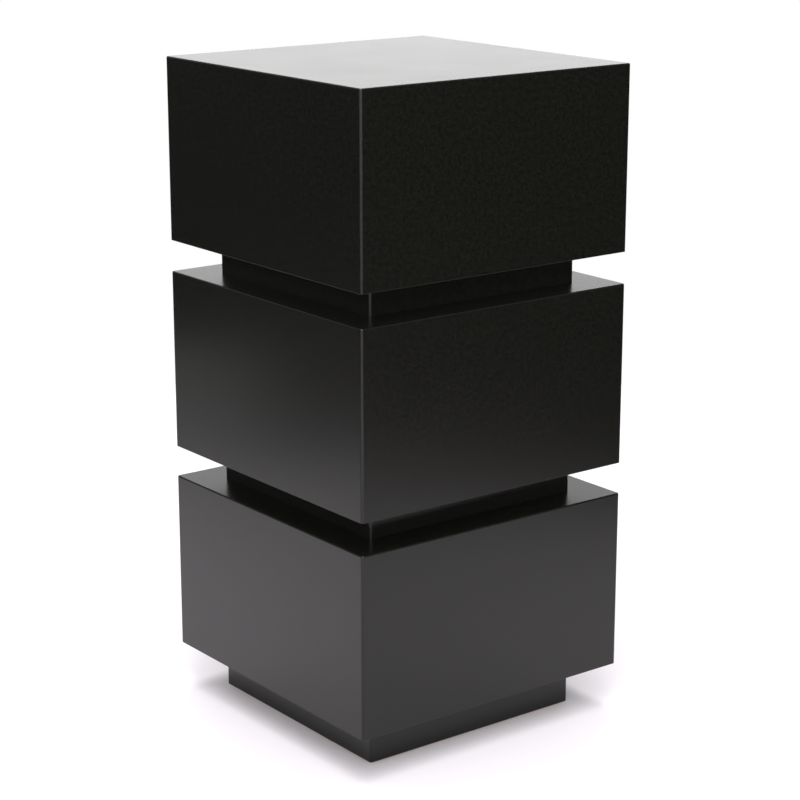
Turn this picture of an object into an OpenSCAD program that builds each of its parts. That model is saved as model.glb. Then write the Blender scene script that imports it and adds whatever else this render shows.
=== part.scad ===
// Display plinth: three mitred boxes stacked on recessed necks, over a recessed base
// with four levelling feet. Millimetres, +Z up, origin on the floor under the centre.

/* [Boxes] */
// Width and depth of each box
box_w = 356; // [320:1:440]
// Height of each box
box_h = 203; // [160:1:260]
// Thickness of the box boards
board_t = 15; // [14:0.5:19]
// Depth of the rebate that holds the bottom board
rebate_d = 7; // [5:0.5:9]
// Side of the square glue blocks in the upright corners
glue_block_w = 25; // [18:1:32]
// Radius of the eased upright edges
arris_r = 3; // [1:0.1:4]
// Radius of the eased top edges
top_arris_r = 1.6; // [0.8:0.1:3]
// Radius of the barely broken bottom edges
foot_arris_r = 0.5; // [0.3:0.1:2]

/* [Necks and base] */
// Height of each neck
neck_h = 35; // [30:1:60]
// Set-back of the necks from the box faces
neck_inset = 40; // [28:1:60]
// Height of the base rails
base_h = 49; // [47:1:80]
// Set-back of the base from the box faces
base_inset = 38; // [28:1:60]
// Thickness of the neck and base rails
rail_t = 18; // [12:0.5:22]
// Side of the square blocks in the neck and base corners
block_w = 46; // [42:1:52]

/* [Biscuits] */
// Length of a biscuit
biscuit_l = 47; // [40:1:53]
// Width of a biscuit
biscuit_w = 15; // [12:0.5:16]
// Thickness of a biscuit
biscuit_t = 4; // [3:0.1:4.5]
// Radius of the saw that cuts the biscuit slots
saw_r = 50; // [50:1:60]

/* [Screws] */
// Length of a screw with its head
screw_l = 40; // [30:1:42]
// Shank diameter of a screw
screw_d = 4; // [3:0.5:5]
// Head diameter of a screw
screw_head_d = 8; // [7:0.5:9]

/* [Levelling feet] */
// Gap between the base rails and the floor
floor_gap = 2; // [1:0.5:4]
// Diameter of a foot pad
pad_d = 30; // [24:1:40]
// Height of a foot pad
pad_h = 8; // [8:0.5:12]
// Diameter of the ball that joins a stem to its pad
ball_d = 7; // [6:0.5:7]
// Diameter of the threaded stem
stem_d = 8; // [6:0.5:10]
// Length of the threaded stem above its collar
stem_l = 30; // [24:1:31]
// Width across the flats of the stem's hexagonal collar
collar_af = 13; // [11:1:17]
// Height of the collar
collar_h = 5; // [3:0.5:8]
// Diameter of the tee nut's flange
flange_d = 24; // [20:1:28]
// Thickness of the tee nut's flange
flange_t = 1.5; // [1:0.1:2]
// Length of the tee nut's barrel
barrel_l = 14; // [10:1:16]

/* [Hidden] */
$fn = 48;
SIDES = ["front", "right", "back", "left"];
BOXES = ["lower", "middle", "upper"];
NECKS = ["lower", "upper"];

// Clearances
slide_gap = 0.05;   // around screws, stems, barrels and biscuits
glue_gap = 0.5;     // past a biscuit's edge, at the bottom of its slot
collar_gap = 0.5;   // between the collar and the flange with the foot wound up
over = 1;           // how far a cutting tool runs past the wood

// Levels, from the floor up
base_z = floor_gap;
stack_step = box_h + neck_h;
lower_box_z = base_z + base_h;
function box_z(i) = lower_box_z + i * stack_step;
function neck_z(i) = box_z(i) + box_h;

// Widths and corner places, measured from the plinth's axis
neck_w = box_w - 2 * neck_inset;
base_w = box_w - 2 * base_inset;
bottom_w = box_w - 2 * (board_t - rebate_d);
glue_block_h = box_h - 2 * board_t;
neck_corner = neck_w / 2 - rail_t;
base_corner = base_w / 2 - rail_t;

// Levelling foot, from the floor up
sole_t = 1;         // pad under the ball
pad_chamfer = 1;
ball_gap = 0.1;
lip = 0.5;          // how far the socket's throat closes over the ball
waist_gap = 0.4;    // between the throat and the stem's waist
pad_gap = 1.2;      // between the pad and the collar
ball_r = ball_d / 2;
ball_z = sole_t + ball_r + ball_gap;
throat_r = ball_r - lip;
collar_z = pad_h + pad_gap;
stem_z = collar_z + collar_h;
flange_z = stem_z + floor_gap + collar_gap;
block_z = flange_z + flange_t;
base_block_h = base_z + base_h - block_z;
tip_chamfer = 1;

// Tee nut
barrel_wall = 1;
barrel_r = stem_d / 2 + barrel_wall;
prong = [1.2, 3, 7];
prong_at = flange_d / 2 - 3;

// Places in a corner block: the foot is in the middle, the screws near the edges
foot_at = base_corner - block_w / 2;
base_screw_at = base_corner - 8;
neck_screw_near = neck_corner - block_w + 13;
neck_screw_far = neck_corner - 13;
screw_land = 0.4;   // straight rim of a screw's head, above its cone

// Biscuits lie across the mitres, past the middle of the board
biscuit_in = board_t * 2 / 3;
slot_d = biscuit_w / 2 + glue_gap;
biscuit_rows = [box_h * 0.3, box_h * 0.68];
biscuit_r = (pow(biscuit_l / 2, 2) + pow(biscuit_w / 2, 2)) / biscuit_w;

LACQUER = "#232224";
FIBREBOARD = "#a98a66";
SOFTWOOD = "#d9b98a";
BEECH = "#c99a6b";
ZINC = "#b9bcc0";
NYLON = "#1b1b1c";

// ---- Outlines ----

// What rounding takes off a corner at the origin, with the wood towards -X and -Y
module corner_waste(r = arris_r) {
    difference() {
        translate([-r, -r]) square(r + over);
        translate([-r, -r]) circle(r);
    }
}

// Section of a board between two mitres: outer face on Y = 0, tips eased
module mitred_strip(length, thickness, r = arris_r) {
    difference() {
        polygon([
            [-length / 2, 0],
            [length / 2, 0],
            [length / 2 - thickness, thickness],
            [thickness - length / 2, thickness]
        ]);
        for (side = [0, 1])
            mirror([side, 0]) translate([length / 2, 0]) mirror([0, 1]) corner_waste(r);
    }
}

// Upright section of a box side: outer face on X = 0, mitred top, rebated foot
module side_section() {
    difference() {
        polygon([
            [0, 0],
            [board_t - rebate_d, 0],
            [board_t - rebate_d, board_t],
            [board_t, board_t],
            [board_t, box_h - board_t],
            [0, box_h]
        ]);
        translate([0, box_h]) mirror([1, 0]) corner_waste(top_arris_r);
        mirror([1, 0]) mirror([0, 1]) corner_waste(foot_arris_r);
    }
}

// Upright section of a base rail: outer face on X = 0, eased foot
module base_section() {
    difference() {
        square([rail_t, base_h]);
        mirror([1, 0]) mirror([0, 1]) corner_waste(foot_arris_r);
    }
}

module rounded_square(width) {
    difference() {
        square(width, center = true);
        for (k = [0:3])
            rotate(90 * k) translate([width / 2, width / 2]) corner_waste();
    }
}

// ---- Placing ----

// Extrudes a section along X, with its X towards +Y and its Y up
module along_x(length) {
    rotate([90, 0, 90]) linear_extrude(length, center = true) children();
}

// Stands a board with its outer face on Y = 0 at side i of a square of this width
module at_side(i, width) {
    rotate([0, 0, 90 * i]) translate([0, -width / 2, 0]) children();
}

module at_corners() {
    for (k = [0:3])
        rotate([0, 0, 90 * k]) children();
}

// ---- Fasteners ----

// Countersunk screw, pointing down, with the top of its head on Z = 0
module screw(gap = 0) {
    r = screw_d / 2 + gap;
    head_r = screw_head_d / 2 + gap;
    rotate_extrude() polygon([
        [0, gap],
        [head_r, gap],
        [head_r, -screw_land],
        [r, -screw_land - head_r + r],
        [r, -screw_l + screw_d],
        [0, -screw_l - gap]
    ]);
}

// Each neck block takes one screw down from the box above and one up from the box below
module screws_down(gap = 0) {
    at_corners() translate([neck_screw_near, neck_screw_far, 0]) screw(gap);
}

module screws_up(gap = 0) {
    at_corners() translate([neck_screw_far, neck_screw_near, 0]) mirror([0, 0, 1]) screw(gap);
}

// The base screws keep to the outer corners of their blocks, clear of the levelling feet
module base_screws_down(gap = 0) {
    at_corners() translate([base_screw_at, base_screw_at, 0]) screw(gap);
}

// Biscuit in the mitre at the right-hand end of a side, which stands on Z = 0
module at_biscuits(ends = [0]) {
    for (end = ends, z = biscuit_rows)
        mirror([end, 0, 0])
            translate([box_w / 2 - biscuit_in, biscuit_in, z]) rotate([0, 0, 45]) children();
}

module biscuit() {
    intersection_for (side = [-1, 1])
        translate([side * (biscuit_r - biscuit_w / 2), 0, 0])
            rotate([90, 0, 0])
                cylinder(h = biscuit_t, r = biscuit_r, center = true, $fn = 96);
}

module biscuit_slot() {
    translate([saw_r - slot_d, 0, 0])
        rotate([90, 0, 0])
            cylinder(h = biscuit_t + 2 * slide_gap, r = saw_r, center = true, $fn = 96);
}

// ---- Box parts, each standing on Z = 0 ----

module box_side() {
    color(LACQUER) difference() {
        intersection() {
            linear_extrude(box_h) mitred_strip(box_w, board_t);
            along_x(box_w) side_section();
        }
        at_biscuits([0, 1]) biscuit_slot();
    }
}

module box_top(has_neck) {
    color(LACQUER) difference() {
        intersection() {
            top_run();
            rotate([0, 0, 90]) top_run();
            linear_extrude(board_t) rounded_square(box_w);
        }
        if (has_neck)
            screws_up(slide_gap);
    }
}

// The top's mitred section, run along X
module top_run() {
    along_x(box_w) translate([0, board_t]) mirror([0, 1]) mitred_strip(box_w, board_t, top_arris_r);
}

module box_bottom(on_base) {
    color(LACQUER) difference() {
        translate([-bottom_w / 2, -bottom_w / 2, 0]) cube([bottom_w, bottom_w, board_t]);
        translate([0, 0, board_t]) {
            if (on_base)
                base_screws_down(slide_gap);
            else
                screws_down(slide_gap);
        }
    }
}

module glue_blocks() {
    inner = box_w / 2 - board_t - glue_block_w;
    color(SOFTWOOD) at_corners()
        translate([inner, inner, board_t]) cube([glue_block_w, glue_block_w, glue_block_h]);
}

module biscuits() {
    color(BEECH) for (i = [0:3])
        at_side(i, box_w) at_biscuits() biscuit();
}

// ---- Neck parts, each standing on Z = 0 ----

module neck_rail() {
    color(LACQUER) linear_extrude(neck_h) mitred_strip(neck_w, rail_t);
}

module neck_blocks() {
    inner = neck_corner - block_w;
    color(FIBREBOARD) difference() {
        at_corners() translate([inner, inner, 0]) cube([block_w, block_w, neck_h]);
        neck_screws_in_place(slide_gap);
    }
}

module neck_screws() {
    color(ZINC) neck_screws_in_place();
}

module neck_screws_in_place(gap = 0) {
    translate([0, 0, neck_h + board_t]) screws_down(gap);
    translate([0, 0, -board_t]) screws_up(gap);
}

// ---- Base parts, in place ----

module base_rail() {
    color(LACQUER) translate([0, 0, base_z]) intersection() {
        linear_extrude(base_h) mitred_strip(base_w, rail_t);
        along_x(base_w) base_section();
    }
}

module base_blocks() {
    inner = base_corner - block_w;
    color(FIBREBOARD) difference() {
        at_corners() translate([inner, inner, block_z]) cube([block_w, block_w, base_block_h]);
        at_corners() translate([foot_at, foot_at, block_z]) {
            translate([0, 0, -over])
                cylinder(h = base_block_h + 2 * over, r = barrel_r + slide_gap);
            prongs(slide_gap);
        }
        translate([0, 0, lower_box_z + board_t]) base_screws_down(slide_gap);
    }
}

module base_screws() {
    color(ZINC) translate([0, 0, lower_box_z + board_t]) base_screws_down();
}

// Prongs of one tee nut, standing on its flange
module prongs(gap = 0) {
    for (k = [0:3])
        rotate([0, 0, 90 * k])
            translate([prong_at - prong[0] / 2 - gap, -prong[1] / 2 - gap, 0])
                cube(prong + [2 * gap, 2 * gap, gap]);
}

module tee_nuts() {
    color(ZINC) at_corners() translate([foot_at, foot_at, flange_z]) difference() {
        union() {
            cylinder(h = flange_t, r = flange_d / 2);
            cylinder(h = flange_t + barrel_l, r = barrel_r);
            translate([0, 0, flange_t]) prongs();
        }
        translate([0, 0, -over])
            cylinder(h = flange_t + barrel_l + 2 * over, r = stem_d / 2 + slide_gap);
    }
}

// ---- Levelling feet, in place at corner i ----

module at_foot(i) {
    rotate([0, 0, 90 * (i - 1)]) translate([foot_at, foot_at, 0]) children();
}

// Pad: a disc with a socket that holds the stem's ball
module foot_pad() {
    color(NYLON) difference() {
        rotate_extrude() polygon([
            [0, 0],
            [pad_d / 2 - pad_chamfer, 0],
            [pad_d / 2, pad_chamfer],
            [pad_d / 2, pad_h / 2],
            [pad_d / 3, pad_h],
            [0, pad_h]
        ]);
        translate([0, 0, ball_z]) {
            sphere(ball_r + ball_gap);
            cylinder(h = pad_h, r = throat_r);
        }
    }
}

// Stem: ball, waist, hexagonal collar and thread, in one piece
module foot_stem() {
    color(ZINC) {
        translate([0, 0, ball_z]) {
            sphere(ball_r);
            cylinder(h = collar_z - ball_z + over, r = throat_r - waist_gap);
        }
        translate([0, 0, collar_z]) cylinder(h = collar_h, d = collar_af / cos(30), $fn = 6);
        translate([0, 0, stem_z]) rotate_extrude() polygon([
            [0, -over],
            [stem_d / 2, -over],
            [stem_d / 2, stem_l - tip_chamfer],
            [stem_d / 2 - tip_chamfer, stem_l],
            [0, stem_l]
        ]);
    }
}

// ---- The plinth ----

for (i = [0:3])
    at_side(i, base_w) base_rail();
base_blocks();
base_screws();
tee_nuts();

for (i = [1:4]) {
    at_foot(i) foot_pad();
    at_foot(i) foot_stem();
}

for (b = [0:2]) translate([0, 0, box_z(b)]) {
    name = str(BOXES[b], "_box_");
    box_bottom(b == 0);
    for (i = [0:3])
        at_side(i, box_w) box_side();
    translate([0, 0, box_h - board_t]) box_top(b < 2);
    glue_blocks();
    biscuits();
}

for (n = [0:1]) translate([0, 0, neck_z(n)]) {
    name = str(NECKS[n], "_neck_");
    for (i = [0:3])
        at_side(i, neck_w) neck_rail();
    neck_blocks();
    neck_screws();
}
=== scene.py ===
"""Display plinth: three mitred boxes stacked on recessed necks, over a recessed base with
four levelling feet, sprayed satin black. Laid out as an add-on and run as a script."""

import math

import bmesh
import bpy
from bpy.props import FloatProperty, FloatVectorProperty, IntProperty, PointerProperty
from bpy.types import Operator, Panel, PropertyGroup
from mathutils import Euler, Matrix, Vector


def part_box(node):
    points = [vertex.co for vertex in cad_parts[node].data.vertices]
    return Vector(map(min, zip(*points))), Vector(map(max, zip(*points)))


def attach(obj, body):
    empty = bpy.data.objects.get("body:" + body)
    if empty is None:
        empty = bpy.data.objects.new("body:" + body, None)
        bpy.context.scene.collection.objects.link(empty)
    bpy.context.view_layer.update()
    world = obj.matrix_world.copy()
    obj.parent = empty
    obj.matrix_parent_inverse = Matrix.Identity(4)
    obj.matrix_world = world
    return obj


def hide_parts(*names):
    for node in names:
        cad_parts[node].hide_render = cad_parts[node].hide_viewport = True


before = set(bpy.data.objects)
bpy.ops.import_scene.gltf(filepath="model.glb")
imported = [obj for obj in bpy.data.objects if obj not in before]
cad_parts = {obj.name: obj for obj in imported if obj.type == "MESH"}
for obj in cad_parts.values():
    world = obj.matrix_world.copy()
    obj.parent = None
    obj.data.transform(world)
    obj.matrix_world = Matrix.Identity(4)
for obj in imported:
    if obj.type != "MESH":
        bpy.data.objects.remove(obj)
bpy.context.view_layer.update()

bl_info = {
    "name": "Display Plinth",
    "version": (1, 0, 0),
    "blender": (4, 5, 0),
    "location": "3D View > Sidebar > Plinth",
    "description": "Models a display plinth of stacked boxes around its packed frame",
    "category": "Object",
}

MM = 0.001
BODY = "plinth"
SIDES = ("front", "right", "back", "left")
BOXES = ("lower", "middle", "upper")
NECKS = ("lower", "upper")
SCREWS_THROUGH_TOP = {"lower": "lower_neck_screws", "middle": "upper_neck_screws"}
SCREWS_THROUGH_BOTTOM = {"lower": "base_screws", "middle": "lower_neck_screws",
                         "upper": "upper_neck_screws"}
QUARTER = math.pi / 2
TOUCHING = 1e-6  # metres: points closer than this are one point
CREASE = math.radians(32)  # a sharper edge than this stays sharp
LATHE_STEPS = 64
FEWEST_FACES = 6  # a block has this many, so a piece with fewer has lost its shape
BALL_Z = 4.6 * MM  # centre of the ball joint, above the sole of a foot


# ---- Sizes that the frame gives ----

def low(node):
    return Vector(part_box(node)[0])


def high(node):
    return Vector(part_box(node)[1])


def thickness(front_node):
    """Thickness of a front board, from its outer face to its inner one."""
    return high(front_node).y - low(front_node).y


BOX_HALF = -low("lower_box_left").x
NECK_HALF = -low("lower_neck_left").x
BASE_HALF = -low("base_left").x
BOX_LOW = {name: low(f"{name}_box_bottom").z for name in BOXES}
NECK_LOW = {name: low(f"{name}_neck_front").z for name in NECKS}
BOX_HEIGHT = high("upper_box_top").z - BOX_LOW["upper"]
NECK_HEIGHT = high("lower_neck_front").z - NECK_LOW["lower"]
BASE_LOW = low("base_front").z
BASE_HEIGHT = high("base_front").z - BASE_LOW
FOOT = (low("foot_1_pad") + high("foot_1_pad")) / 2


def srgb(code):
    """An sRGB hex value as linear red, green and blue."""
    shares = [int(code[i:i + 2], 16) / 255 for i in (1, 3, 5)]
    return tuple(c / 12.92 if c <= 0.04045 else ((c + 0.055) / 1.055) ** 2.4 for c in shares)


# ---- What a user would change ----

def length(name, description, default):
    return FloatProperty(name=name, description=description, default=default, min=0.0,
                         subtype="DISTANCE", unit="LENGTH", precision=4)


def colour(name, description, code):
    return FloatVectorProperty(name=name, description=description, default=srgb(code),
                               min=0.0, max=1.0, subtype="COLOR")


class PlinthSizes(PropertyGroup):
    arris: length("Arris", "Radius of the eased upright edges", 3 * MM)
    top_arris: length("Top arris", "Radius of the eased top edges", 1.6 * MM)
    foot_arris: length("Foot arris", "Radius of the barely broken bottom edges", 0.5 * MM)
    arris_steps: IntProperty(name="Arris steps", description="Facets across one arris",
                             default=8, min=2, max=16)
    board: length("Board", "Thickness of the box boards", thickness("lower_box_front"))
    rail: length("Rail", "Thickness of the neck rails", thickness("lower_neck_front"))
    rebate: length("Rebate", "Depth of the rebate under the box sides",
                   thickness("lower_box_front") - BOX_HALF + high("lower_box_bottom").x)
    pitch: length("Thread pitch", "Pitch of the levelling thread", 1.25 * MM)
    hairline: length("Hairline", "Easing of the edges that meet other boards", 0.25 * MM)


class PlinthFinishes(PropertyGroup):
    lacquer: colour("Lacquer", "Satin black polyurethane lacquer", "#0d0d0a")
    fibreboard: colour("Fibreboard", "Raw edge and inner face of MDF", "#a5855f")
    pine: colour("Pine", "Glue blocks", "#d2ae7a")
    beech: colour("Beech", "Biscuits", "#c0936a")
    zinc: colour("Zinc", "Zinc plated steel", "#c3c6c8")
    nylon: colour("Nylon", "Glass-filled nylon of the foot pads", "#1c1c1d")
    floor: colour("Floor", "Seamless background paper", "#f4eff4")


def sizes():
    return bpy.context.scene.plinth_sizes


def finishes():
    return bpy.context.scene.plinth_finishes


# ---- Materials ----

def node(tree, kind, settings=None, links=None):
    """Adds a node, sets its attributes, inputs or ramp stops, and links its inputs."""
    made = tree.nodes.new(kind)
    inputs = {socket.identifier: socket for socket in made.inputs}
    for key, value in (settings or {}).items():
        if key == "stops":
            elements = made.color_ramp.elements
            while len(elements) < len(value):
                elements.new(0.5)
            for element, (position, shade) in zip(elements, value):
                element.position = position
                element.color = (*shade, 1.0)
        elif key in inputs:
            inputs[key].default_value = value
        else:
            setattr(made, key, value)
    for key, socket in (links or {}).items():
        tree.links.new(socket, inputs[key])
    return made


def new_material(name):
    """A new material with an empty node tree, and the Object coordinates it starts from."""
    material = bpy.data.materials.new(name)
    material.use_nodes = True
    tree = material.node_tree
    tree.nodes.clear()
    return material, tree, node(tree, "ShaderNodeTexCoord").outputs["Object"]


def finish_material(tree, surface, links):
    """Ends a material with its Principled shader."""
    shader = node(tree, "ShaderNodeBsdfPrincipled", surface, links)
    node(tree, "ShaderNodeOutputMaterial", links={"Surface": shader.outputs["BSDF"]})


def grade(shade, share):
    return tuple(min(1.0, c * share) for c in shade)


def grey(value):
    return (value, value, value)


def satin_lacquer():
    """Satin black polyurethane lacquer, sprayed on primed MDF and left off the gun. The eye gets
    a deep black with broad soft reflections, faint orange peel and slight uneven flatting."""
    material, tree, place = new_material("satin_black_lacquer")
    shade = finishes().lacquer
    # flatting agent settles unevenly, in clouds about 60 mm across
    clouds = node(tree, "ShaderNodeTexNoise", {"Scale": 16.0, "Detail": 3.0, "Roughness": 0.55},
                  {"Vector": place}).outputs["Fac"]
    roughness = node(tree, "ShaderNodeMapRange",
                     {"From Min": 0.3, "From Max": 0.7, "To Min": 0.25, "To Max": 0.26},
                     {"Value": clouds}).outputs["Result"]
    # grains of flatting silica, far finer than this, drawn as flecks 2 to 4 mm across to show
    grains = node(tree, "ShaderNodeTexNoise", {"Scale": 230.0, "Detail": 3.0, "Roughness": 0.75},
                  {"Vector": place}).outputs["Fac"]
    colours = node(tree, "ShaderNodeValToRGB",
                   {"stops": [(0.36, grade(shade, 0.55)), (0.5, shade),
                              (0.64, grade(shade, 1.5))]},
                   {"Fac": grains}).outputs["Color"]
    # orange peel: cells about 2 mm across, drawn several times as deep as the real one
    peel = node(tree, "ShaderNodeTexNoise", {"Scale": 480.0, "Detail": 2.0, "Roughness": 0.5},
                {"Vector": place}).outputs["Fac"]
    bump = node(tree, "ShaderNodeBump", {"Strength": 1.0, "Distance": 0.04 * MM},
                {"Height": peel}).outputs["Normal"]
    finish_material(tree, {"IOR": 1.4},
                    {"Base Color": colours, "Roughness": roughness, "Normal": bump})
    return material


def raw_fibreboard():
    """MDF, sawn and unfinished. The eye gets a matt warm brown with fine pale and dark fibres."""
    material, tree, place = new_material("raw_mdf")
    shade = finishes().fibreboard
    # fibre bundles 1 to 2 mm long
    fibres = node(tree, "ShaderNodeTexNoise", {"Scale": 700.0, "Detail": 4.0, "Roughness": 0.7},
                  {"Vector": place}).outputs["Fac"]
    colours = node(tree, "ShaderNodeValToRGB",
                   {"stops": [(0.25, grade(shade, 0.62)), (0.5, shade),
                              (0.8, grade(shade, 1.25))]},
                   {"Fac": fibres}).outputs["Color"]
    bump = node(tree, "ShaderNodeBump", {"Strength": 0.6, "Distance": 0.1 * MM},
                {"Height": fibres}).outputs["Normal"]
    finish_material(tree, {"Roughness": 0.85, "IOR": 1.45},
                    {"Base Color": colours, "Normal": bump})
    return material


def grained_wood(name, shade, ring, contrast):
    """Planed wood with its grain upright. The eye gets bands of early and late wood that
    wander, flecked by short dark pores."""
    material, tree, place = new_material(name)
    stretched = node(tree, "ShaderNodeMapping", {"Scale": (1.0, 1.0, 0.1)},
                     {"Vector": place}).outputs["Vector"]
    rings = node(tree, "ShaderNodeTexWave",
                 {"wave_type": "BANDS", "bands_direction": "DIAGONAL", "Scale": 0.5 / ring,
                  "Distortion": 3.0, "Detail": 2.0, "Detail Scale": 1.5},
                 {"Vector": stretched}).outputs["Fac"]
    pores = node(tree, "ShaderNodeTexNoise", {"Scale": 1500.0, "Detail": 2.0},
                 {"Vector": stretched}).outputs["Fac"]
    grain = node(tree, "ShaderNodeMath",
                 {"operation": "MULTIPLY_ADD", "Value_001": 0.35},
                 {"Value": pores, "Value_002": rings}).outputs["Value"]
    colours = node(tree, "ShaderNodeValToRGB",
                   {"stops": [(0.2, shade), (1.0, grade(shade, 1 - contrast))]},
                   {"Fac": grain}).outputs["Color"]
    bump = node(tree, "ShaderNodeBump", {"Strength": 0.4, "Distance": 0.05 * MM},
                {"Height": pores}).outputs["Normal"]
    finish_material(tree, {"Roughness": 0.6, "IOR": 1.5},
                    {"Base Color": colours, "Normal": bump})
    return material


def pine():
    """Pine, planed: growth rings about 4 mm apart."""
    return grained_wood("planed_pine", finishes().pine, 4 * MM, 0.4)


def beech():
    """Beech, pressed into biscuits: fine even flecks."""
    return grained_wood("pressed_beech", finishes().beech, 1.5 * MM, 0.2)


def zinc_steel():
    """Steel, bright zinc plated and passivated. The eye gets a bluish metal with a dull bloom."""
    material, tree, place = new_material("zinc_plated_steel")
    shade = finishes().zinc
    # spangle and bloom, patches about 4 mm across
    bloom = node(tree, "ShaderNodeTexNoise", {"Scale": 250.0, "Detail": 4.0},
                 {"Vector": place}).outputs["Fac"]
    roughness = node(tree, "ShaderNodeMapRange",
                     {"From Min": 0.3, "From Max": 0.7, "To Min": 0.24, "To Max": 0.42},
                     {"Value": bloom}).outputs["Result"]
    colours = node(tree, "ShaderNodeValToRGB",
                   {"stops": [(0.3, grade(shade, 0.85)), (0.7, shade)]},
                   {"Fac": bloom}).outputs["Color"]
    finish_material(tree, {"Metallic": 1.0}, {"Base Color": colours, "Roughness": roughness})
    return material


def moulded_nylon():
    """Glass-filled nylon, injection moulded. The eye gets a dull charcoal with a fine spark
    grain from the mould."""
    material, tree, place = new_material("moulded_nylon")
    shade = finishes().nylon
    # spark-eroded grain, pits about 0.4 mm across
    grain = node(tree, "ShaderNodeTexNoise", {"Scale": 2500.0, "Detail": 2.0},
                 {"Vector": place}).outputs["Fac"]
    colours = node(tree, "ShaderNodeValToRGB",
                   {"stops": [(0.3, grade(shade, 0.8)), (0.7, grade(shade, 1.2))]},
                   {"Fac": grain}).outputs["Color"]
    bump = node(tree, "ShaderNodeBump", {"Strength": 0.5, "Distance": 0.03 * MM},
                {"Height": grain}).outputs["Normal"]
    finish_material(tree, {"Roughness": 0.52, "IOR": 1.53},
                    {"Base Color": colours, "Normal": bump})
    return material


def matt_paper():
    """Seamless background paper. The eye gets an even matt white with no grain to speak of."""
    material, tree, place = new_material("matt_paper")
    shade = finishes().floor
    fibres = node(tree, "ShaderNodeTexNoise", {"Scale": 900.0, "Detail": 2.0},
                  {"Vector": place}).outputs["Fac"]
    colours = node(tree, "ShaderNodeValToRGB",
                   {"stops": [(0.3, grade(shade, 0.985)), (0.7, shade)]},
                   {"Fac": fibres}).outputs["Color"]
    finish_material(tree, {"Roughness": 0.9, "IOR": 1.45}, {"Base Color": colours})
    return material


MATERIALS = {}


def finish_of(make):
    """The material that a maker function gives, made once."""
    if make not in MATERIALS:
        MATERIALS[make] = make()
    return MATERIALS[make]


# ---- Bench tools ----

def no_selection():
    """Goes to object mode with nothing selected."""
    if bpy.context.mode != "OBJECT":
        close()
    bpy.ops.object.select_all(action="DESELECT")


def take(*objects):
    """Goes to object mode with only these selected, the first of them active."""
    no_selection()
    for obj in objects:
        obj.select_set(True)
    bpy.context.view_layer.objects.active = objects[0]


def settle(obj):
    """Puts the object's place and turn into its mesh."""
    take(obj)
    bpy.ops.object.transform_apply(location=True, rotation=True, scale=True)
    return obj


def pick(obj, kind, wanted):
    """Opens obj in edit mode with only the wanted edges or faces selected."""
    take(obj)
    bpy.ops.object.mode_set(mode="EDIT")
    bpy.ops.mesh.select_mode(type=kind)
    bpy.ops.mesh.select_all(action="DESELECT")
    mesh = bmesh.from_edit_mesh(obj.data)
    for part in (mesh.edges if kind == "EDGE" else mesh.faces):
        part.select_set(wanted(part))
    bmesh.update_edit_mesh(obj.data)


def close():
    """Leaves edit mode."""
    bpy.ops.object.mode_set(mode="OBJECT")


def ease(obj, radius, steps, wanted):
    """Rounds the wanted edges."""
    pick(obj, "EDGE", wanted)
    bpy.ops.mesh.bevel(offset=radius, segments=steps, profile=0.5, affect="EDGES")
    close()


def block(name, corner, opposite):
    """A block between two opposite corners."""
    no_selection()
    corner, opposite = Vector(corner), Vector(opposite)
    bpy.ops.mesh.primitive_cube_add(size=1.0, location=(corner + opposite) / 2,
                                    scale=opposite - corner)
    obj = bpy.context.object
    obj.name = name
    return settle(obj)


def bar(name, sides, radius, bottom, top):
    """An upright bar on the Z axis with flat sides."""
    no_selection()
    bpy.ops.mesh.primitive_cylinder_add(vertices=sides, radius=radius, depth=top - bottom,
                                        location=(0.0, 0.0, (bottom + top) / 2))
    obj = bpy.context.object
    obj.name = name
    return settle(obj)


def saw(obj, point, normal):
    """Saws obj along a plane and drops the piece that the normal points to."""
    pick(obj, "FACE", lambda face: True)
    bpy.ops.mesh.bisect(plane_co=point, plane_no=normal, use_fill=True, clear_outer=True,
                        threshold=TOUCHING)
    close()


def combine(obj, other, operation):
    """Joins to obj, or cuts out of it, another solid, which is used up."""
    take(obj)
    bpy.ops.object.modifier_add(type="BOOLEAN")
    modifier = obj.modifiers[-1]
    modifier.operation = operation
    modifier.solver = "EXACT"
    modifier.object = other
    bpy.ops.object.modifier_apply(modifier=modifier.name)
    bpy.data.objects.remove(other)
    return obj


def pencil_point(name, at):
    """A new mesh of one point, open in edit mode and ready to be drawn out."""
    no_selection()
    bpy.ops.mesh.primitive_plane_add(size=MM)
    obj = bpy.context.object
    obj.name = name
    bpy.ops.object.mode_set(mode="EDIT")
    bpy.ops.mesh.select_mode(type="VERT")
    bpy.ops.mesh.select_all(action="SELECT")
    bpy.ops.mesh.merge(type="CENTER")
    bpy.ops.transform.translate(value=at)
    return obj


def lathe(name, outline, closed=False):
    """Draws an outline of (radius, height) points, joins its ends where it is closed, and
    spins it round the Z axis."""
    obj = pencil_point(name, (outline[0][0], 0.0, outline[0][1]))
    for (r0, z0), (r1, z1) in zip(outline, outline[1:]):
        bpy.ops.mesh.extrude_region_move(
            TRANSFORM_OT_translate={"value": (r1 - r0, 0.0, z1 - z0)})
    if closed:
        mesh = bmesh.from_edit_mesh(obj.data)
        for vert in mesh.verts:
            vert.select_set(len(vert.link_edges) == 1)
        bmesh.update_edit_mesh(obj.data)
        bpy.ops.mesh.edge_face_add()
    bpy.ops.mesh.select_all(action="SELECT")
    bpy.ops.mesh.spin(steps=LATHE_STEPS, angle=2 * math.pi, center=(0, 0, 0), axis=(0, 0, 1))
    bpy.ops.mesh.select_all(action="SELECT")
    bpy.ops.mesh.remove_doubles(threshold=TOUCHING)
    bpy.ops.mesh.normals_make_consistent(inside=False)
    close()
    return obj


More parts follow.
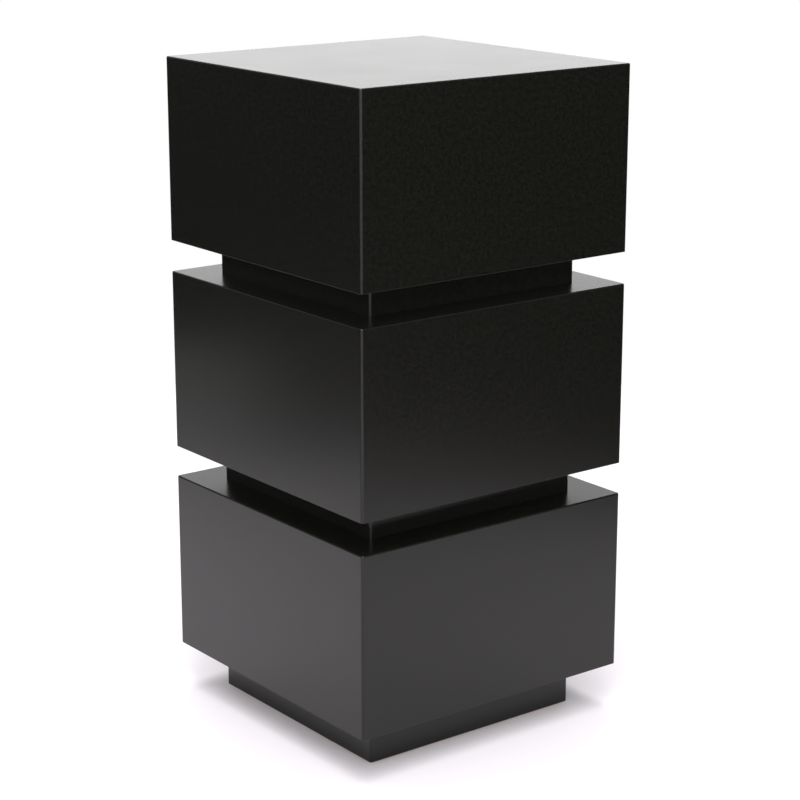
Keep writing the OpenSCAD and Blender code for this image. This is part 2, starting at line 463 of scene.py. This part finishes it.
def arc(centre, radius, start, end, steps=6):
    """Points (radius, height) along an arc, with its angles in degrees."""
    angles = [math.radians(start + (end - start) * i / steps) for i in range(steps + 1)]
    return [(centre[0] + radius * math.cos(a), centre[1] + radius * math.sin(a)) for a in angles]


def weld(obj):
    """Merges doubled points and turns the faces outwards."""
    pick(obj, "FACE", lambda face: True)
    bpy.ops.mesh.remove_doubles(threshold=TOUCHING)
    bpy.ops.mesh.normals_make_consistent(inside=False)
    close()


def clean(obj):
    """Welds obj, and keeps its flat faces flat beside rounded ones."""
    weld(obj)
    bpy.ops.object.shade_smooth_by_angle(angle=CREASE)
    bpy.ops.object.modifier_add(type="WEIGHTED_NORMAL")
    modifier = obj.modifiers[-1]
    modifier.keep_sharp = True
    modifier.weight = 100
    bpy.ops.object.modifier_apply(modifier=modifier.name)


def paint(obj, skin, core=None, is_skin=None):
    """Gives obj its finish, and its core's finish to the faces that were never sprayed."""
    obj.data.materials.clear()
    obj.data.materials.append(finish_of(skin))
    if core:
        obj.data.materials.append(finish_of(core))
        for face in obj.data.polygons:
            face.material_index = 0 if is_skin(face) else 1


def copy_to(pattern, name, turn=0.0, at=(0.0, 0.0, 0.0)):
    """A copy of a pattern with its own mesh, turned about the Z axis and then moved."""
    take(pattern)
    bpy.ops.object.duplicate(linked=False)
    obj = bpy.context.object
    obj.name = name
    obj.data.name = name
    obj.rotation_euler = (0.0, 0.0, turn)
    obj.location = at
    return settle(obj)


def fit(obj, body, cad_node):
    """Stands a finished piece for its CAD node."""
    if len(obj.data.polygons) < FEWEST_FACES:
        raise RuntimeError(f"{obj.name} came out with no solid shape")
    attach(obj, body)
    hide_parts(cad_node)


def fit_sides(pattern, stem, z=0.0):
    """Copies a front board to all four sides."""
    for i, side in enumerate(SIDES):
        obj = copy_to(pattern, f"{stem}_{side}_board", turn=i * QUARTER, at=(0.0, 0.0, z))
        fit(obj, BODY, f"{stem}_{side}")


def drop(obj):
    """Throws away a pattern once its copies are made."""
    bpy.data.objects.remove(obj)


def foot_place(i):
    """Where foot i + 1 stands, each a quarter turn on from the one before."""
    centre = FOOT.xy.to_3d()
    centre.rotate(Euler((0, 0, i * QUARTER)))
    return centre


# ---- Boards ----

def is_upright(edge):
    return abs((edge.verts[0].co - edge.verts[1].co).normalized().z) > 0.9


def eased_block(name, half, bottom, top, top_arris=0.0, foot_arris=0.0):
    """The square block that a ring of boards is cut from, rounded at its upright edges and
    then, where a radius is given, round its top and its foot."""
    steps = sizes().arris_steps
    obj = block(name, (-half, -half, bottom), (half, half, top))
    ease(obj, sizes().arris, steps, is_upright)
    for z, radius in ((top, top_arris), (bottom, foot_arris)):
        if radius:
            ease(obj, radius, steps, lambda e: all(abs(v.co.z - z) < TOUCHING for v in e.verts))
    return obj


def front_board(obj, half, depth):
    """Saws a square block down to its front board, mitred at both ends."""
    saw(obj, (0, depth - half, 0), (0, 1, 0))
    saw(obj, (half, -half, 0), (1, 1, 0))
    saw(obj, (-half, -half, 0), (-1, 1, 0))
    return obj


def skin_depth():
    """How far in from its outer faces a board counts as sprayed: just past the arris."""
    return sizes().arris * 1.01


def rebate_half():
    """From the middle of a box to the wall of the rebate that its bottom board fills."""
    return BOX_HALF - sizes().board + sizes().rebate


def biscuit_slots():
    """The four saw discs that cut a side's biscuit slots."""
    blade, depth, kerf = 50 * MM, 8 * MM, 4.1 * MM
    heights = (BOX_HEIGHT * 0.3, BOX_HEIGHT * 0.68)
    inset = sizes().board * 2 / 3
    reach = (blade - depth) / math.sqrt(2)
    discs = []
    for side in (-1, 1):
        for z in heights:
            no_selection()
            at = (side * (BOX_HALF - inset + reach), inset + reach - BOX_HALF, z)
            bpy.ops.mesh.primitive_cylinder_add(vertices=96, radius=blade, depth=kerf, location=at,
                                                rotation=(QUARTER, 0, side * QUARTER / 2))
            discs.append(settle(bpy.context.object))
    take(*discs)
    bpy.ops.object.join()
    return discs[0]


def box_side_pattern():
    """A box's front board standing on Z = 0: mitred at its ends and top, rebated at its foot."""
    board, edge = sizes().board, rebate_half()
    obj = eased_block("box_side", BOX_HALF, 0, BOX_HEIGHT, sizes().top_arris,
                      sizes().foot_arris)
    front_board(obj, BOX_HALF, board)
    saw(obj, (0, -BOX_HALF, BOX_HEIGHT), (0, 1, 1))
    combine(obj, block("rebate", (-BOX_HALF, -edge, -board), (BOX_HALF, 0, board)), "DIFFERENCE")
    combine(obj, biscuit_slots(), "DIFFERENCE")
    clean(obj)
    skin = skin_depth()
    paint(obj, satin_lacquer, raw_fibreboard,
          lambda face: face.center.y < skin - BOX_HALF or face.center.z < skin)
    return obj


def box_top_pattern():
    """A box's top board, mitred all round, with its top face at the box's own height."""
    board = sizes().board
    obj = eased_block("box_top", BOX_HALF, 0, BOX_HEIGHT, sizes().top_arris)
    saw(obj, (0, 0, BOX_HEIGHT - board), (0, 0, -1))
    for x, y in ((1, 0), (0, 1), (-1, 0), (0, -1)):
        saw(obj, (x * BOX_HALF, y * BOX_HALF, BOX_HEIGHT), (x, y, -1))
    clean(obj)
    skin = skin_depth()
    paint(obj, satin_lacquer, raw_fibreboard,
          lambda face: face.center.z > BOX_HEIGHT - skin)
    return obj


def rail_pattern(name, half, bottom, top, foot_arris=0.0):
    """A front rail of a neck or of the base."""
    obj = eased_block(name, half, bottom, top, foot_arris=foot_arris)
    front_board(obj, half, sizes().rail)
    clean(obj)
    skin = skin_depth()
    paint(obj, satin_lacquer, raw_fibreboard, lambda face: face.center.y < skin - half)
    return obj


def drill(obj, screws):
    """Cuts a board for the screws that pass through it, and leaves the holes unsprayed."""
    cutter = copy_to(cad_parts[screws], "screw_cutter")
    weld(cutter)
    for face in cutter.data.polygons:
        face.material_index = 1
    combine(obj, cutter, "DIFFERENCE")
    clean(obj)


# ---- Operators: one for each kind of piece ----

class PLINTH_OT_box_sides(Operator):
    """Mitred side boards of the three boxes"""
    bl_idname = "plinth.box_sides"
    bl_label = "Box Sides"

    def execute(self, context):
        pattern = box_side_pattern()
        for name in BOXES:
            fit_sides(pattern, f"{name}_box", BOX_LOW[name])
        drop(pattern)
        return {"FINISHED"}


class PLINTH_OT_box_tops(Operator):
    """Mitred top boards of the three boxes"""
    bl_idname = "plinth.box_tops"
    bl_label = "Box Tops"

    def execute(self, context):
        pattern = box_top_pattern()
        for name in BOXES:
            obj = copy_to(pattern, f"{name}_box_top_board", at=(0, 0, BOX_LOW[name]))
            if name in SCREWS_THROUGH_TOP:
                drill(obj, SCREWS_THROUGH_TOP[name])
            fit(obj, BODY, f"{name}_box_top")
        drop(pattern)
        return {"FINISHED"}


class PLINTH_OT_box_bottoms(Operator):
    """Bottom boards, let into the rebates of the three boxes"""
    bl_idname = "plinth.box_bottoms"
    bl_label = "Box Bottoms"

    def execute(self, context):
        half = rebate_half()
        pattern = block("box_bottom", (-half, -half, 0), (half, half, sizes().board))
        ease(pattern, sizes().hairline, 2, lambda e: True)
        clean(pattern)
        paint(pattern, satin_lacquer, raw_fibreboard, lambda face: face.normal.z < -0.1)
        for name in BOXES:
            obj = copy_to(pattern, f"{name}_box_bottom_board", at=(0, 0, BOX_LOW[name]))
            drill(obj, SCREWS_THROUGH_BOTTOM[name])
            fit(obj, BODY, f"{name}_box_bottom")
        drop(pattern)
        return {"FINISHED"}


class PLINTH_OT_neck_rails(Operator):
    """Mitred rails of the two recessed necks"""
    bl_idname = "plinth.neck_rails"
    bl_label = "Neck Rails"

    def execute(self, context):
        pattern = rail_pattern("neck_rail", NECK_HALF, 0, NECK_HEIGHT)
        for name in NECKS:
            fit_sides(pattern, f"{name}_neck", NECK_LOW[name])
        drop(pattern)
        return {"FINISHED"}


class PLINTH_OT_base_rails(Operator):
    """Mitred rails of the recessed base"""
    bl_idname = "plinth.base_rails"
    bl_label = "Base Rails"

    def execute(self, context):
        pattern = rail_pattern("base_rail", BASE_HALF, BASE_LOW, BASE_LOW + BASE_HEIGHT,
                               sizes().foot_arris)
        fit_sides(pattern, "base")
        drop(pattern)
        return {"FINISHED"}


class PLINTH_OT_foot_pads(Operator):
    """Moulded pads of the four levelling feet"""
    bl_idname = "plinth.foot_pads"
    bl_label = "Foot Pads"

    def execute(self, context):
        radius, top = high("foot_1_pad").x - FOOT.x, high("foot_1_pad").z
        socket, throat = 3.6 * MM, 3.0 * MM
        hollow, rim, shoulder, lip = 0.5 * MM, 1.0 * MM, 0.8 * MM, 0.4 * MM
        start = math.degrees(math.acos(throat / socket))
        outline = [(0, hollow), (radius * 0.55, hollow), (radius * 0.6, 0)]
        outline += arc((radius - rim, rim), rim, -90, 0)
        outline += arc((radius - shoulder, top / 2), shoulder, 0, 40, 3)
        outline += arc((radius / 1.5 - rim, top - rim), rim, 50, 90, 4)
        outline += arc((throat + lip, top - lip), lip, 90, 180, 3)
        outline += arc((0, BALL_Z), socket, start, -90, 12)
        pattern = lathe("foot_pad", outline)
        clean(pattern)
        paint(pattern, moulded_nylon)
        for i in range(4):
            obj = copy_to(pattern, f"foot_{i + 1}_pad_moulding", i * QUARTER, foot_place(i))
            fit(obj, f"foot_{i + 1}_pad", f"foot_{i + 1}_pad")
        drop(pattern)
        return {"FINISHED"}


class PLINTH_OT_foot_stems(Operator):
    """Threaded stems of the four levelling feet"""
    bl_idname = "plinth.foot_stems"
    bl_label = "Foot Stems"

    def execute(self, context):
        ball, waist = 3.5 * MM, 2.6 * MM
        collar_low, collar_high, flats = 9.2 * MM, 14.2 * MM, 13 * MM
        end_radius, corner_radius, chamfer = flats * 0.47, flats * 0.585, 0.9 * MM
        top = high("foot_1_stem").z
        pattern = self.thread(collar_high - MM, top)
        collar = bar("collar", 6, flats / 2 / math.cos(math.pi / 6), collar_low, collar_high)
        turned = [(0, collar_low), (end_radius, collar_low),
                  (corner_radius, collar_low + chamfer), (corner_radius, collar_high - chamfer),
                  (end_radius, collar_high), (0, collar_high)]
        combine(collar, lathe("round_collar", turned), "INTERSECT")
        combine(pattern, collar, "UNION")
        end = math.degrees(math.acos(waist / ball))
        root = collar_low + 0.5 * MM
        shank = arc((0, BALL_Z), ball, -90, end, 14) + [(waist, root), (0, root)]
        combine(pattern, lathe("ball", shank), "UNION")
        clean(pattern)
        paint(pattern, zinc_steel)
        for i in range(4):
            obj = copy_to(pattern, f"foot_{i + 1}_threaded_stem", i * QUARTER, foot_place(i))
            fit(obj, f"foot_{i + 1}_stem", f"foot_{i + 1}_stem")
        drop(pattern)
        return {"FINISHED"}

    def thread(self, bottom, top):
        """A rod with a real helical thread, its tip chamfered."""
        pitch, crest, root = sizes().pitch, 4.0 * MM, 3.3 * MM
        turns = math.ceil((top - bottom) / pitch) + 2
        obj = pencil_point("thread", (root, 0, bottom - 1.5 * pitch))
        for across, up in ((0, 0.2), (crest - root, 0.35), (0, 0.1), (root - crest, 0.35)):
            bpy.ops.mesh.extrude_region_move(
                TRANSFORM_OT_translate={"value": (across, 0, up * pitch)})
        close()
        bpy.ops.object.modifier_add(type="SCREW")
        screw = obj.modifiers[-1]
        screw.axis = "Z"
        screw.screw_offset = pitch
        screw.iterations = turns
        screw.steps = screw.render_steps = 32
        screw.use_merge_vertices = True
        screw.merge_threshold = TOUCHING
        bpy.ops.object.modifier_apply(modifier=screw.name)
        pick(obj, "FACE", lambda face: True)
        bpy.ops.mesh.remove_doubles(threshold=TOUCHING)
        close()
        saw(obj, (0, 0, top), (0, 0, 1))
        saw(obj, (0, 0, bottom), (0, 0, -1))
        pick(obj, "FACE", lambda face: True)
        bpy.ops.mesh.normals_make_consistent(inside=False)
        close()
        tip = [(0, bottom - MM), (crest * 1.1, bottom - MM), (crest * 1.1, top - 1.1 * MM),
               (crest - MM, top), (0, top)]
        return combine(obj, lathe("tip", tip), "INTERSECT")


class PLINTH_OT_tee_nuts(Operator):
    """Pronged tee nuts that the levelling stems screw into"""
    bl_idname = "plinth.tee_nuts"
    bl_label = "Tee Nuts"

    def execute(self, context):
        bottom, top = low("tee_nuts").z, high("tee_nuts").z
        flange, barrel, bore, sheet = 12 * MM, 5 * MM, 4.05 * MM, 1.5 * MM
        round_off = 0.4 * MM
        outline = [(bore, bottom + 0.5 * MM), (bore + 0.5 * MM, bottom)]
        outline += arc((flange - round_off, bottom + round_off), round_off, -90, 0, 4)
        outline += arc((flange - round_off, bottom + sheet - round_off), round_off, 0, 90, 4)
        outline += [(barrel, bottom + sheet)]
        outline += arc((barrel - round_off, top - round_off), round_off, 0, 90, 4)
        outline += [(bore, top)]
        pattern = lathe("tee_nut", outline, closed=True)
        near, far, half_width, reach = 8.4 * MM, 9.6 * MM, 1.5 * MM, 8.5 * MM
        prong = block("prong", (near, -half_width, bottom + MM),
                      (far, half_width, bottom + reach))
        pick(prong, "EDGE", lambda e: abs(e.verts[0].co.y - e.verts[1].co.y) > MM
             and min(v.co.z for v in e.verts) > bottom + 2 * MM)
        bpy.ops.transform.resize(value=(1.0, 0.25, 1.0))
        close()
        for i in range(4):
            combine(pattern, copy_to(prong, f"prong_{i}", turn=i * QUARTER), "UNION")
        drop(prong)
        clean(pattern)
        paint(pattern, zinc_steel)
        for i in range(4):
            obj = copy_to(pattern, f"tee_nut_{i + 1}", i * QUARTER, foot_place(i))
            fit(obj, BODY, "tee_nuts")
        drop(pattern)
        return {"FINISHED"}


class PLINTH_OT_inner_parts(Operator):
    """Finishes of the blocks, biscuits and screws inside, which keep their CAD shapes"""
    bl_idname = "plinth.inner_parts"
    bl_label = "Inner Parts"

    def execute(self, context):
        finish = {"_glue_blocks": pine, "_biscuits": beech, "_screws": zinc_steel,
                  "_blocks": raw_fibreboard}
        for name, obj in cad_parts.items():
            for ending, material in finish.items():
                if name.endswith(ending):
                    paint(obj, material)
                    break
        return {"FINISHED"}


class PLINTH_OT_stage(Operator):
    """Pale paper floor, soft studio light and the camera"""
    bl_idname = "plinth.stage"
    bl_label = "Stage"

    azimuth: FloatProperty(name="Azimuth", description="Turn of the camera about the plinth",
                           default=math.radians(-37.4), subtype="ANGLE", unit="ROTATION")
    elevation: FloatProperty(name="Elevation", description="How far the camera looks down",
                             default=math.radians(15.21), subtype="ANGLE", unit="ROTATION")
    place: FloatVectorProperty(name="Place", description="Where the camera stands",
                               default=(-1.437, -1.888, 0.997), subtype="TRANSLATION",
                               unit="LENGTH")
    lens: FloatProperty(name="Lens", description="Focal length on a 36 mm sensor",
                        default=99.15, unit="CAMERA")

    def execute(self, context):
        self.camera()
        self.floor()
        self.light()
        self.surroundings(context.scene)
        return {"FINISHED"}

    def camera(self):
        no_selection()
        turn = (QUARTER - self.elevation, 0.0, self.azimuth)
        bpy.ops.object.camera_add(location=self.place, rotation=turn)
        camera = bpy.context.object
        camera.data.lens = self.lens
        bpy.context.scene.camera = camera

    def floor(self):
        """A roll of matt paper that runs under the plinth towards the camera."""
        no_selection()
        middle = Vector((-0.08, -0.5, 0.0))
        middle.rotate(Euler((0, 0, self.azimuth)))
        bpy.ops.mesh.primitive_plane_add(size=1.0, location=middle, rotation=(0, 0, self.azimuth))
        paper = bpy.context.object
        paper.name = "paper_floor"
        paper.scale = (2.14, 3.8, 1.0)
        settle(paper)
        paint(paper, matt_paper)

    def light(self):
        """A long soft box overhead, over the roll, and a weak low one at the left."""
        # place beside the roll, turn, width and length, and watts
        lamps = {
            "soft_box": ((-0.05, -0.5, 2.1), (0.0, 0.0, 0.0), (1.2, 4.0), 76.0),
            "side_fill": ((-0.8, 0.37, 0.19), (QUARTER, 0.0, -QUARTER), (0.5, 0.15), 0.11),
        }
        for name, (place, turn, size, energy) in lamps.items():
            no_selection()
            aside = Vector(place)
            aside.rotate(Euler((0, 0, self.azimuth)))
            turned = (turn[0], turn[1], turn[2] + self.azimuth)
            bpy.ops.object.light_add(type="AREA", location=aside, rotation=turned)
            lamp = bpy.context.object
            lamp.name = name
            lamp.visible_camera = False
            lamp.data.shape = "RECTANGLE"
            lamp.data.size, lamp.data.size_y = size
            lamp.data.energy = energy

    def surroundings(self, scene):
        """A studio that is bright behind the plinth and behind the camera, and dim to the
        sides, with a dark floor beyond the paper. The camera itself sees plain white."""
        world = bpy.data.worlds.new("studio")
        world.use_nodes = True
        scene.world = world
        tree = world.node_tree
        tree.nodes.clear()
        direction = node(tree, "ShaderNodeTexCoord").outputs["Generated"]
        up = node(tree, "ShaderNodeSeparateXYZ", links={"Vector": direction}).outputs["Z"]
        height = node(tree, "ShaderNodeMapRange", {"From Min": -1.0, "From Max": 1.0},
                      {"Value": up}).outputs["Result"]
        ahead = (-math.sin(self.azimuth), math.cos(self.azimuth), 0.0)
        along = node(tree, "ShaderNodeVectorMath",
                     {"operation": "DOT_PRODUCT", "Vector_001": ahead},
                     {"Vector": direction}).outputs["Value"]
        # for each wall: how nearly a direction must face it, from where its light starts to where
        # it is full, and its brightness at heights from 0, straight down, to 1, straight up
        brightest = 4.0
        walls = {
            (0.45, 0.85): [(0.49, 0.0), (0.515, 2.7), (0.54, 2.6), (0.58, 1.1), (0.75, 0.3)],
            (-0.45, -0.85): [(0.40, 0.0), (0.44, 2.2), (0.56, 2.6), (0.76, 3.2), (0.90, 0.5)],
            (-2.0, -1.5): [(0.49, 0.05), (0.51, 0.3), (0.60, 0.3), (0.75, 0.3)],
        }
        glow = None
        for (start, end), stops in walls.items():
            profile = node(tree, "ShaderNodeValToRGB",
                           {"stops": [(at, grey(level / brightest)) for at, level in stops]},
                           {"Fac": height}).outputs["Color"]
            share = node(tree, "ShaderNodeMapRange",
                         {"interpolation_type": "SMOOTHSTEP", "From Min": start, "From Max": end},
                         {"Value": along}).outputs["Result"]
            wall = node(tree, "ShaderNodeMath", {"operation": "MULTIPLY"},
                        {"Value": profile, "Value_001": share}).outputs["Value"]
            if glow is not None:
                wall = node(tree, "ShaderNodeMath", {"operation": "ADD"},
                            {"Value": glow, "Value_001": wall}).outputs["Value"]
            glow = wall
        room = node(tree, "ShaderNodeBackground", {"Strength": brightest}, {"Color": glow})
        white = node(tree, "ShaderNodeBackground", {"Color": (1, 1, 1, 1), "Strength": 1.0})
        seen = node(tree, "ShaderNodeLightPath").outputs["Is Camera Ray"]
        mixed = node(tree, "ShaderNodeMixShader", None,
                     {"Fac": seen, "Shader": room.outputs["Background"],
                      "Shader_001": white.outputs["Background"]})
        node(tree, "ShaderNodeOutputWorld", links={"Surface": mixed.outputs["Shader"]})
        scene.view_settings.view_transform = "Standard"


class PLINTH_PT_panel(Panel):
    """Sizes, finishes and pieces of the plinth"""
    bl_label = "Display Plinth"
    bl_idname = "PLINTH_PT_panel"
    bl_space_type = "VIEW_3D"
    bl_region_type = "UI"
    bl_category = "Plinth"

    def draw(self, context):
        for group in (context.scene.plinth_sizes, context.scene.plinth_finishes):
            box = self.layout.box()
            for key in group.__annotations__:
                box.prop(group, key)
        for step in STEPS:
            self.layout.operator(step.bl_idname)


STEPS = (PLINTH_OT_box_sides, PLINTH_OT_box_tops, PLINTH_OT_box_bottoms, PLINTH_OT_neck_rails,
         PLINTH_OT_base_rails, PLINTH_OT_foot_pads, PLINTH_OT_foot_stems, PLINTH_OT_tee_nuts,
         PLINTH_OT_inner_parts, PLINTH_OT_stage)
CLASSES = (PlinthSizes, PlinthFinishes, *STEPS, PLINTH_PT_panel)


def register():
    for cls in CLASSES:
        bpy.utils.register_class(cls)
    bpy.types.Scene.plinth_sizes = PointerProperty(type=PlinthSizes)
    bpy.types.Scene.plinth_finishes = PointerProperty(type=PlinthFinishes)


def unregister():
    del bpy.types.Scene.plinth_finishes
    del bpy.types.Scene.plinth_sizes
    for cls in reversed(CLASSES):
        bpy.utils.unregister_class(cls)


def main():
    register()
    for step in STEPS:
        group, name = step.bl_idname.split(".")
        getattr(getattr(bpy.ops, group), name)()


if __name__ == "__main__":
    main()
